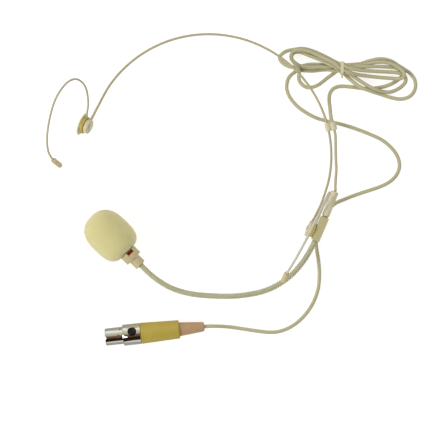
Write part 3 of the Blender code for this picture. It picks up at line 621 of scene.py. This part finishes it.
def build_gooseneck():
    """Two ribbed jackets that meet in a groove."""
    fine = smooth_route(BOOM_ROUTE)
    whole = distances(fine)[-1]
    stretches = (
        ("gooseneck_jacket_rear", NECK_START, NECK_HALFWAY, ("gooseneck_rear",), ("boom", "boom_middle"),
         spot(69.5, -20.8, 9.0), spot(67.0, -37.5, 9.2)),
        ("gooseneck_jacket_front", NECK_HALFWAY, whole, ("gooseneck_middle", "gooseneck_front"),
         ("boom_middle", "mic_head"), spot(17.0, -72.9, 11.0), spot(-6.8, -70.2, 11.4)),
    )
    for name, start, end, replaced, bodies, bend_start, bend_end in stretches:
        ribs = round((end - start) / RIB_PITCH)
        pitch = (end - start) / ribs
        marks = [start + (i + share) * pitch for i in range(ribs) for share, _ in RIB_SHAPE] + [end]
        radii = [radius for _ in range(ribs) for _, radius in RIB_SHAPE] + [RIB_SHAPE[0][1]]
        jacket = sweep_mesh(name, points_at(fine, marks), radii, 20)
        dress(jacket, "goose", sharp=None)
        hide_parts(*replaced)
        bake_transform(jacket)


def build_clamp():
    """The slit block on the right hub and the sleeve that joins gooseneck and cable."""
    half_x = (CLAMP_OUTER_X - CLAMP_INNER_X) / 2
    place = Matrix.Translation(spot((CLAMP_OUTER_X + CLAMP_INNER_X) / 2, RIGHT_PIVOT.y, RIGHT_PIVOT.z))
    clamp = box_mesh("boom_clamp_block", (-half_x, CLAMP_FRONT, -CLAMP_HALF_HEIGHT),
                     (half_x, CLAMP_REAR, CLAMP_HALF_HEIGHT), place)
    bore_place = axes_at((69.74, RIGHT_PIVOT.y, RIGHT_PIVOT.z), (0, 1, 0), (1, 0, 0))
    bore = rod_mesh("bore", 1.8, -8, 8, bore_place, 40)
    pin_place = axes_at((CLAMP_INNER_X, RIGHT_PIVOT.y, RIGHT_PIVOT.z), (1, 0, 0), (0, 1, 0))
    pin = rod_mesh("pin_hole", 1.0, -1.0, 1.2, pin_place, 32)
    slot_place = Matrix.Translation(spot(71.3, RIGHT_PIVOT.y, RIGHT_PIVOT.z))
    slit = box_mesh("slit", (-1.0, -8.0, -0.3), (2.0, 12.0, 0.3), slot_place)
    carve(clamp, bore, pin, slit)
    soften(clamp, 0.45)
    finish_mesh(clamp, "clamp", "boom", "hub_plastic", "boom_clamp")

    reach = (SLEEVE_REAR - SLEEVE_FRONT).length
    sleeve = lathe("boom_sleeve_tube", [
        (1.15, reach), (1.8, reach), (2.05, reach - 0.15), (2.17, reach - 0.5), (2.17, reach - 1.3),
        (2.05, reach - 1.7), (2.05, 0.3), (1.95, 0.0), (1.8, 0.0), (1.8, 4.3), (1.15, 4.6)],
        axes_at(SLEEVE_FRONT, SLEEVE_REAR - SLEEVE_FRONT, (1, 0, 0)), 48)
    finish_mesh(sleeve, "hub", "boom", "hub_plastic", "boom_sleeve")


MIC_START = Vector((-10.6, -68.75, 11.4))  # the rear end; everything along the microphone is from here
MIC_WAY = Vector((-0.934, 0.357, 0.0)).normalized()
PORT_ROLL = radians(14.0)
FOAM_SPAN = (10.15, 37.1)
FOAM_REAR_ANGLE = 160.0
FOAM_R = 11.37
FOAM_FULLNESS_FRONT, FOAM_FULLNESS_REAR = 2.4, 3.4
FOAM_GRAINS = (1.9, 0.45)  # how fine each of the unevennesses is
FOAM_GRAIN_DEPTH = 0.10
FOAM_BORE_R, FOAM_BORE_DEPTH = 4.5, 24.0  # nothing inside these is made uneven


def build_mic():
    """The rear cap, and the collared barrel with three ports."""
    place = axes_at(MIC_START, MIC_WAY, (0, 0, 1))
    cap = lathe("mic_rear_collar", [
        (0.0, 4.8), (3.0, 4.8), (3.15, 4.65), (3.15, 0.5), (3.05, 0.2), (2.85, 0.0), (1.75, 0.0), (1.75, 4.0),
        (0.0, 4.0)], place, 72, closed=False)
    finish_mesh(cap, "housing", "mic_head", "mic_housing_plastic", "mic_rear_cap")
    body = lathe("mic_barrel", [
        (3.6, 22.0), (4.05, 22.0), (4.2, 21.85), (4.2, 9.95), (4.7, 9.95), (4.85, 9.85), (4.85, 5.4),
        (4.7, 5.1), (4.45, 5.0), (1.0, 5.0), (1.0, 6.2), (3.6, 6.2)], place)
    ports = [
        box_mesh("port", (2.8, -1.95, 7.8), (7.0, 1.95, 9.65),
                 place @ Matrix.Rotation(PORT_ROLL + i * tau / 3, 4, "Z")) for i in range(3)]
    carve(body, *ports)
    soften(body, 0.12, 2)
    finish_mesh(body, "housing", "mic_head", "mic_housing_plastic", "mic_housing")
    for node, material in (("damping_felt", "felt"), ("capsule", "chrome"), ("capsule_mount", "black"),
                           ("front_grille", "chrome")):
        paint_node(node, material)


def foam_outline(steps):
    """The blunt egg outline from the tip round to where the flat rear face starts."""
    low, high = FOAM_SPAN
    back = abs(cos(radians(FOAM_REAR_ANGLE))) ** (2 / FOAM_FULLNESS_REAR)
    half = (high - low) / (1 + back)
    middle = high - half
    outline = []
    for i in range(steps + 1):
        angle = radians(FOAM_REAR_ANGLE) * i / steps
        front = angle <= pi / 2
        power = 2 / (FOAM_FULLNESS_FRONT if front else FOAM_FULLNESS_REAR)
        height = half * abs(cos(angle)) ** power
        outline.append((FOAM_R * abs(sin(angle)) ** power, middle + (height if front else -height)))
    return outline


def build_foam():
    """The windscreen, bored for the barrel and slightly uneven outside."""
    low, _ = FOAM_SPAN
    neck = [(4.7, low + 0.05), (4.4, low + 0.3)]
    bore = [(4.4, low + 2 + 1.0 * i) for i in range(11)] + [(4.2, 22.9), (0.0, 23.0)]
    place = axes_at(MIC_START, MIC_WAY, (0, 0, 1))
    foam = lathe("windscreen", foam_outline(88) + neck + bore, place, 150, closed=False)
    for vertex in foam.data.vertices:
        here = vertex.co / MM
        if here.xy.length < FOAM_BORE_R and here.z < FOAM_BORE_DEPTH:
            continue
        grain = sum(noise.noise(here * fineness) * FOAM_GRAIN_DEPTH for fineness in FOAM_GRAINS)
        outward = Vector((here.x, here.y, (here.z - 23.0) * 0.7)).normalized()
        vertex.co += outward * grain * MM
    finish_mesh(foam, "foam", "windscreen", "windscreen_foam", "foam_windscreen", sharp=70.0)


# ---- clip, cable, hank and tie ----

CABLE_R, LEAD_R = 1.0, 0.75
CABLE_STEP = 1.25
CLIP_EXIT = (54.46, 39.86, 8.8)
LEAD_ROUTE = [
    (69.25, 4.6, 9.0), (69.2, 8.35, 9.0), (68.3, 10.4, 8.9), (67.1, 13.7, 8.7), (65.3, 18.9, 8.4),
    (63.1, 23.6, 8.3), (60.9, 28.4, 8.4), (57.46, 35.86, 8.75), CLIP_EXIT,
]
CLIP_TO_HANK = [
    CLIP_EXIT, (51.45, 43.86, 8.7), (49.0, 48.6, 6.6), (47.1, 52.6, 3.6), (46.3, 56.2, 1.7),
    (47.2, 59.4, 1.15), (50.2, 61.8, 1.1), (56.0, 63.8, 1.1),
]
HELD_POINTS = 7  # the hank starts to be free to settle at the last of these
# the passes of the hank in the order the cable takes them, each from one side of the waist to the other
HANK_PASSES = [
    [(61.7, 65.5, 1.1), (66.5, 67.6, 1.1), (70.8, 70.2, 1.1), (74.5, 73.4, 1.1), (76.9, 76.7, 1.2),
     (78.2, 79.6, 1.6), (77.7, 81.9, 2.2), (75.7, 82.7, 2.6), (73.2, 82.6, 2.8), (69.8, 81.5, 2.9),
     (63.5, 79.0, 3.2), (56.6, 75.7, 3.6), (51.2, 72.9, 3.9), (46.75, 70.8, 4.0), (42.7, 69.5, 3.8),
     (39.5, 69.0, 3.2), (35.3, 67.9, 2.6), (30.8, 66.1, 2.2), (27.7, 64.0, 1.8), (25.3, 61.8, 1.5),
     (22.3, 60.8, 1.2), (18.4, 60.5, 1.1), (15.2, 61.5, 1.1), (13.6, 63.3, 1.1), (14.3, 65.6, 1.1),
     (16.3, 68.0, 1.1), (19.3, 69.8, 1.2)],
    [(22.1, 71.6, 1.4), (25.1, 72.7, 1.8), (30.1, 73.2, 2.4), (37.2, 72.8, 3.6), (42.1, 72.0, 5.0),
     (46.35, 71.75, 5.78), (49.8, 71.7, 5.4), (57.2, 73.9, 4.2), (64.5, 76.5, 3.4), (71.5, 79.1, 3.0),
     (75.8, 80.5, 2.8), (79.0, 80.5, 2.6), (80.9, 79.1, 2.0), (81.2, 77.0, 1.4), (80.2, 74.3, 1.1),
     (78.1, 71.3, 1.1), (75.3, 68.9, 1.1)],
    [(71.9, 67.6, 1.5), (68.7, 67.1, 2.6), (65.4, 67.0, 3.2), (62.3, 67.5, 3.2), (58.1, 68.4, 3.4),
     (54.5, 69.1, 3.8), (50.8, 69.7, 4.0), (47.55, 68.91, 4.0), (42.9, 70.2, 4.6), (39.5, 70.1, 4.6),
     (34.2, 70.4, 3.8), (28.6, 70.3, 3.0), (24.4, 70.3, 2.4), (21.4, 69.7, 2.2), (19.6, 68.3, 2.0),
     (19.3, 66.2, 1.8), (20.5, 64.4, 1.6), (23.0, 63.3, 2.0)],
    [(26.0, 62.9, 2.6), (28.9, 63.7, 3.0), (32.3, 65.2, 3.2), (36.2, 67.0, 3.4), (40.7, 68.8, 3.8),
     (45.95, 72.69, 4.0), (48.3, 72.8, 3.9), (51.4, 73.8, 3.7), (55.3, 75.7, 3.4), (58.4, 78.1, 3.2),
     (62.5, 80.9, 3.0), (66.4, 82.6, 2.8), (70.5, 83.3, 2.8), (74.5, 82.8, 3.2), (77.5, 81.8, 4.2),
     (79.0, 80.4, 4.8), (78.7, 78.6, 4.4), (76.8, 77.3, 3.6), (72.8, 76.0, 3.0)],
    [(65.8, 73.7, 2.8), (58.9, 71.6, 3.0), (54.6, 70.4, 4.0), (50.5, 70.0, 5.4), (47.15, 69.85, 5.78),
     (42.6, 70.6, 6.0), (37.8, 71.2, 5.0), (33.5, 71.7, 4.0), (27.9, 71.9, 3.2), (23.9, 71.3, 3.0),
     (20.9, 69.9, 3.0), (19.2, 68.1, 3.2), (19.1, 65.9, 3.4), (20.4, 64.2, 3.4), (22.7, 63.0, 3.4),
     (25.1, 61.6, 3.6), (26.7, 59.7, 2.4), (27.6, 56.9, 1.2), (29.6, 54.9, 1.1), (32.9, 54.0, 1.1),
     (35.5, 54.8, 1.1), (38.3, 57.2, 1.1), (40.0, 59.9, 1.1), (41.7, 63.2, 1.3)],
    [(43.6, 66.4, 1.8), (46.35, 71.75, 2.22), (48.3, 73.3, 2.1), (51.2, 74.7, 1.9), (55.2, 76.9, 1.6),
     (58.0, 79.6, 1.3), (62.1, 82.8, 1.1), (65.9, 84.5, 1.1), (70.1, 85.0, 1.1), (73.9, 84.3, 1.3),
     (77.8, 83.6, 1.3), (81.5, 83.0, 1.1), (84.9, 81.2, 1.1), (87.0, 78.3, 1.1), (87.6, 74.7, 1.1),
     (86.1, 70.9, 1.1), (82.3, 68.1, 1.1), (77.2, 67.0, 1.1)],
    [(71.7, 66.7, 1.5), (66.3, 66.0, 3.2), (62.3, 65.5, 3.6), (58.8, 65.6, 3.2), (55.4, 66.5, 2.6),
     (51.9, 67.6, 2.3), (49.3, 68.8, 2.2), (47.15, 69.85, 2.22), (43.8, 68.6, 2.0), (40.7, 67.8, 1.6),
     (37.2, 66.0, 1.3), (33.2, 63.8, 1.2), (29.5, 62.6, 1.2), (26.5, 62.0, 1.2), (24.6, 60.4, 1.1),
     (23.1, 57.7, 1.1), (22.4, 54.7, 1.1)],
]
HANK_TO_PLUG = [
    (22.8, 52.0, 1.1), (24.2, 48.6, 1.05), (27.6, 45.3, 1.05),
    (32.5, 42.8, 1.05), (38.3, 41.4, 1.05), (44.7, 40.9, 1.05), (51.4, 41.7, 1.05), (57.9, 43.0, 1.05),
    (66.0, 43.9, 1.05), (74.9, 44.2, 1.05), (82.2, 43.9, 1.05), (89.1, 41.7, 1.05), (93.9, 38.4, 1.05),
    (96.4, 34.2, 1.05), (96.6, 29.6, 1.05), (94.7, 24.9, 1.05), (90.8, 20.2, 1.05), (82.5, 12.8, 1.05),
    (76.6, 7.2, 1.05), (72.2, 2.4, 1.05), (70.1, -3.0, 1.05), (69.5, -9.0, 1.05), (69.7, -15.0, 1.05),
    (70.8, -20.0, 1.05), (73.0, -24.3, 1.05), (76.0, -29.0, 1.05), (79.4, -35.6, 1.05), (82.0, -43.5, 1.05),
    (82.4, -52.0, 1.05), (80.6, -60.3, 1.05), (76.9, -67.5, 1.05), (72.0, -72.6, 1.05), (66.8, -75.4, 1.05),
    (59.5, -77.6, 1.05), (51.8, -79.6, 1.1), (46.4, -81.0, 1.9), (41.6, -82.5, 3.7), (37.6, -84.0, 5.2),
    (34.2, -85.55, 5.75), (30.0, -87.9, 5.75), (4.8, -102.05, 5.75),
]


STRAND_GAP = 0.05
SAME_STRAND = 5.0  # points this near each other along the cable don't push each other
PUSH = np.array([0.3, 0.3, 0.6])
LIFT = 0.35
SMOOTHED = 0.55  # how much of each move is spread to the points beside it
LOWEST, HIGHEST = 1.05, 6.2


def settle(points, first, last, rounds=90):
    """Moves the hank's passes off each other, mostly up and down, so that no two share the same space."""
    place = np.array([tuple(p) for p in points])
    free = np.zeros(len(place), bool)
    free[first:last] = True
    step = np.linalg.norm(np.diff(place, axis=0), axis=1).mean()
    apart = max(4, int(round(SAME_STRAND / step)))
    clear = 2 * CABLE_R + STRAND_GAP
    order = np.arange(len(place))
    far = np.abs(order[:, None] - order[None, :]) > apart
    start = place.copy()
    for _ in range(rounds):
        gap = place[:, None, :] - place[None, :, :]
        distance = np.sqrt((gap ** 2).sum(axis=2)) + 1e-6
        close = far & (distance < clear)
        share = np.where(close, (clear - distance) / distance * 0.5, 0.0)
        lift = np.sign(gap[:, :, 2] + np.where(order[:, None] > order[None, :], 1e-4, -1e-4))
        push = (gap * share[:, :, None]).sum(axis=1)
        count = np.maximum(close.sum(axis=1), 1)
        upward = np.where(close, (clear - distance) * LIFT * lift, 0.0).sum(axis=1) / count
        move = push * PUSH / count[:, None]
        move[:, 2] += upward
        drift = place + np.where(free[:, None], move, 0.0) - start
        smooth = drift.copy()
        smooth[1:-1] = 0.25 * drift[:-2] + 0.5 * drift[1:-1] + 0.25 * drift[2:]
        drift = np.where(free[:, None], drift * (1 - SMOOTHED) + smooth * SMOOTHED, 0.0)
        place = start + drift
        place[free, 2] = np.clip(place[free, 2], LOWEST, HIGHEST)
    return [Vector(p) for p in place]


def build_lead():
    """The thin lead from the sleeve to the clip."""
    lead = evenly(LEAD_ROUTE, 1.0)
    tube = sweep_mesh("cable_lead", lead, [LEAD_R] * len(lead), 24)
    dress(tube, "cable", sharp=50.0)
    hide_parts("cord_upper")
    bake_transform(tube)


def build_cable():
    """The cable from the clip through the hank to the inside of the plug, and the route it takes."""
    route = CLIP_TO_HANK + [p for single in HANK_PASSES for p in single] + HANK_TO_PLUG
    points = evenly(route, CABLE_STEP)
    before = distances(smooth_route(CLIP_TO_HANK[:HELD_POINTS]))[-1]
    after = distances(smooth_route(HANK_TO_PLUG))[-1]
    points = settle(points, int(before / CABLE_STEP), len(points) - int(after / CABLE_STEP))
    cable = wire_curve("cable_run", points, CABLE_R)
    finish_mesh(cable, "cable", "headband", "cable_jacket", "cord_hank", "cord_lower", "cord_tail_in_plug")
    return cable, points


WAIST = Vector((46.75, 70.8, 4.0))
ACROSS_HANK, ALONG_HANK = Vector((0.39, -0.92, 0.0)).normalized(), Vector((0.92, 0.39, 0.0)).normalized()
TIE_HALF_WIDTH, TIE_HALF_HEIGHT, TIE_ROUNDNESS = 3.15, 2.95, 0.6
TIE_STEPS = 56
TIE_SECTION = [
    (-0.85, 0.0), (-0.85, 0.22), (-0.55, 0.34), (0.0, 0.38), (0.55, 0.34), (0.85, 0.22), (0.85, 0.0),
]
TIE_END_R, TIE_TWIST_R, TIE_TWISTS, TIE_END_STEPS = 0.3, 0.3, 1.6, 24


def softened(value):
    """A sine or cosine drawn toward one, so that a circle becomes a rounded square."""
    return abs(value) ** TIE_ROUNDNESS * (1 if value > 0 else -1)


def build_tie():
    """A pale band round the hank's waist with its two ends twisted together at one side."""
    turns = [tau * i / TIE_STEPS for i in range(TIE_STEPS)]
    loop = [(softened(cos(turn)) * TIE_HALF_WIDTH, softened(sin(turn)) * TIE_HALF_HEIGHT) for turn in turns]
    shape = bmesh.new()
    rings = []
    for i, (w, h) in enumerate(loop):
        prev, nxt = loop[i - 1], loop[(i + 1) % len(loop)]
        normal = Vector((nxt[1] - prev[1], -(nxt[0] - prev[0]))).normalized()
        rings.append([
            shape.verts.new(spot(*(WAIST + ACROSS_HANK * (w + normal.x * t) + ALONG_HANK * s
                                   + Vector((0, 0, h + normal.y * t)))))
            for s, t in TIE_SECTION])
    for a, b in zip(rings, rings[1:] + rings[:1]):
        for k in range(len(TIE_SECTION)):
            n = (k + 1) % len(TIE_SECTION)
            shape.faces.new((a[k], b[k], b[n], a[n]))
    bmesh.ops.recalc_face_normals(shape, faces=shape.faces)
    band = as_object("hank_tie_band", shape)
    pieces = [finish_mesh(band, "tie", "headband", "hub_cover_plastic", "hank_tie")]
    middles, twist = [], []
    for i in range(TIE_END_STEPS + 1):
        turn = tau * TIE_TWISTS * i / TIE_END_STEPS
        out = WAIST + ACROSS_HANK * (TIE_HALF_WIDTH + 0.55 + 0.075 * i)
        middles.append(out + Vector((0, 0, 0.9)))
        twist.append(out + Vector((0, 0, TIE_TWIST_R * cos(turn) + 0.9))
                     + ALONG_HANK * TIE_TWIST_R * sin(turn))
    for i, points in enumerate((twist, [2 * middle - p for middle, p in zip(middles, twist)])):
        end = sweep_mesh("hank_tie_end_%d" % (i + 1), points, [TIE_END_R] * len(points), 10)
        pieces.append(finish_mesh(end, "tie", "headband", "hub_cover_plastic"))
    return pieces


CLIP_ANGLE = radians(36.5)
CLIP_HALF_LENGTH = 2.2
BAND_TO_CABLE = 2.9


def build_clip():
    """Two joined bores, one on the neckband and one round the cable."""
    radial = Vector((cos(CLIP_ANGLE), sin(CLIP_ANGLE), 0.0))
    on_band = Vector((BAND_CENTRE_X + BAND_HALF_WIDTH * cos(CLIP_ANGLE),
                      BAND_HALF_DEPTH * sin(CLIP_ANGLE), 0.0))
    on_band.z = band_height(on_band.x)
    way = Vector((-BAND_HALF_WIDTH * sin(CLIP_ANGLE), BAND_HALF_DEPTH * cos(CLIP_ANGLE), 0.0))
    band_place = axes_at(on_band, way, radial)
    cable_place = axes_at(on_band + radial * BAND_TO_CABLE, way, radial)
    clip = rod_mesh("cable_clip_body", 1.5, -CLIP_HALF_LENGTH, CLIP_HALF_LENGTH, band_place)
    carve(clip, joined=[rod_mesh("lobe", 1.8, -CLIP_HALF_LENGTH, CLIP_HALF_LENGTH, cable_place)])
    carve(clip, rod_mesh("bore_1", 0.95, -6, 6, band_place, 32),
          rod_mesh("bore_2", 1.35, -6, 6, cable_place, 32))
    soften(clip, 0.18, 2)
    finish_mesh(clip, "hub", "clip", "hub_plastic", "cable_clip")


PLUG_NOSE = Vector((-12.9, -112.0, 5.75))
PLUG_WAY = Vector((0.872, 0.4895, 0.0)).normalized()
BUTTON_ROLL = radians(20.0)
BUTTON_AT = 14.6
PLUG_INSIDE = {
    "plug_insert": "black", "plug_contact_1": "brass", "plug_contact_2": "brass", "plug_contact_3": "brass",
    "plug_contact_4": "brass", "plug_latch_spring": "brass", "plug_cable_clamp": "black",
}


def build_plug():
    """Barrel, latch button, shell and boot; returns every piece of the plug."""
    side = Vector((0, 0, 1)).cross(PLUG_WAY).normalized()
    toward_button = Vector((0, 0, 1)) * cos(BUTTON_ROLL) + side * sin(BUTTON_ROLL)
    place = axes_at(PLUG_NOSE, PLUG_WAY, toward_button)

    def across(roll, at):
        """Axes that look out of the plug at an angle from straight up, at a distance from the nose."""
        return place @ Matrix.Rotation(roll - BUTTON_ROLL, 4, "Z") @ Matrix.Translation(
            (0, 0, at * MM)) @ Matrix.Rotation(pi / 2, 4, "Y")

    barrel = lathe("plug_barrel_metal", [
        (4.7, 19.1), (5.45, 19.1), (5.65, 18.9), (5.65, 9.85), (5.5, 9.6), (5.25, 9.5), (4.6, 9.5),
        (4.6, 0.5), (4.5, 0.2), (4.3, 0.0), (3.9, 0.0), (3.75, 0.2), (3.75, 12.0), (4.7, 12.0)], place, 96)
    carve(barrel, rod_mesh("hole", 2.4, 3.0, 8.0, across(BUTTON_ROLL, BUTTON_AT), 48),
          rod_mesh("dimple_1", 0.85, 3.9, 8.0, across(radians(40), 7.2), 32),
          rod_mesh("dimple_2", 0.75, 3.9, 8.0, across(radians(-11), 8.1), 32))
    soften(barrel, 0.12, 2)
    finish_mesh(barrel, "chrome", "headband", "nickel", "plug_barrel")
    button = lathe("plug_latch_key", [
        (0.0, 5.9), (0.55, 5.9), (0.8, 6.1), (1.35, 6.08), (1.8, 5.9), (2.1, 5.55), (2.2, 5.2), (2.2, 3.9),
        (0.0, 3.9)], across(BUTTON_ROLL, BUTTON_AT), 64, closed=False)
    finish_mesh(button, "black", "latch_button", "black_plastic", "plug_latch_button")
    shell = lathe("plug_shell_sleeve", [
        (3.95, 39.8), (4.45, 39.8), (4.75, 39.7), (4.92, 39.4), (4.95, 39.0), (5.6, 20.9), (5.55, 20.7),
        (5.6, 20.5), (5.69, 19.8), (5.66, 19.5), (5.5, 19.3), (4.6, 19.3)], place, 96)
    finish_mesh(shell, "mustard", "headband", "plug_shell_paint", "plug_shell")
    boot = lathe("plug_boot_sleeve", [
        (1.2, 53.2), (1.9, 53.2), (2.3, 53.05), (2.52, 52.7), (2.6, 52.2), (3.7, 40.3), (3.7, 35.0),
        (1.3, 35.0)], place)
    finish_mesh(boot, "boot", "headband", "boot_rubber", "plug_boot")
    for node, material in PLUG_INSIDE.items():
        paint_node(node, material)
    return [barrel, button, shell, boot] + [frame["nodes"][node] for node in PLUG_INSIDE]


def main():
    build_camera()
    build_studio()
    build_lead()
    cable, points = build_cable()
    tie = build_tie()
    plug = build_plug()
    left_hub = hub_frame(LEFT_PIVOT, LEFT_TILT)
    right_hub = hub_frame(RIGHT_PIVOT, 0.0)
    build_band()
    build_hubs(left_hub, right_hub)
    build_hook("left", -1, left_hub, LEFT_HOOK, LEFT_TIP)
    build_hook("right", 1, right_hub, RIGHT_HOOK, RIGHT_TIP)
    build_clamp()
    build_gooseneck()
    build_mic()
    build_foam()
    build_clip()
    for pin in ("left_pivot_pin", "right_pivot_pin"):
        paint_node(pin, "hub")
    bpy.context.view_layer.update()


main()
